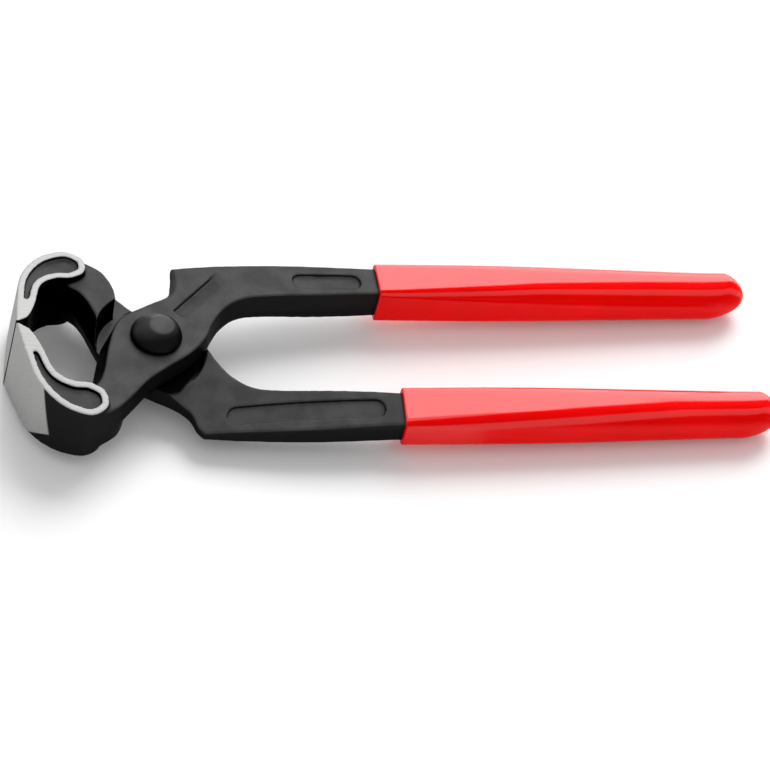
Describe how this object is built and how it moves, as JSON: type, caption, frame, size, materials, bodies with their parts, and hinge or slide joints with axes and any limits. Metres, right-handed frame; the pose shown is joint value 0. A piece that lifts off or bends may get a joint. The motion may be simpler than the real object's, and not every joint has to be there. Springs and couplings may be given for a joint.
{
  "type": "end cutting nippers",
  "caption": "Carpenters' pincers: curved end-cutting jaws with ground edges, a riveted lap joint and long handles in dipped grips, for pulling nails and nipping wire.",
  "frame": {"origin": "middle of the closed tool's length and width, at the level of its lowest point, the lower corners of the cutting edges", "axes": "+X along the tool from the jaws to the handle ends, +Z along the rivet, up from the side the tool lies on"},
  "size_m": [0.21, 0.0586, 0.025],
  "materials": {
    "forged_steel": "black oxide over the forging, with the jaw sides, fronts and edges ground bright",
    "rivet_steel": "black oxide, satin",
    "dipped_plastic": "glossy dipped plastic"
  },
  "bodies": {
    "rear_lever": {"rear_half": "forged_steel", "lower_grip": "dipped_plastic", "pivot_rivet": "rivet_steel"},
    "front_lever": {"front_half": "forged_steel", "upper_grip": "dipped_plastic"}
  },
  "joints": [
    {"name": "jaw_pivot", "type": "hinge", "parent": "rear_lever", "child": "front_lever", "pos_m": [-0.0663, 0, 0.0125], "axis": [0, 0, 1], "range_deg": [0, 40]}
  ]
}
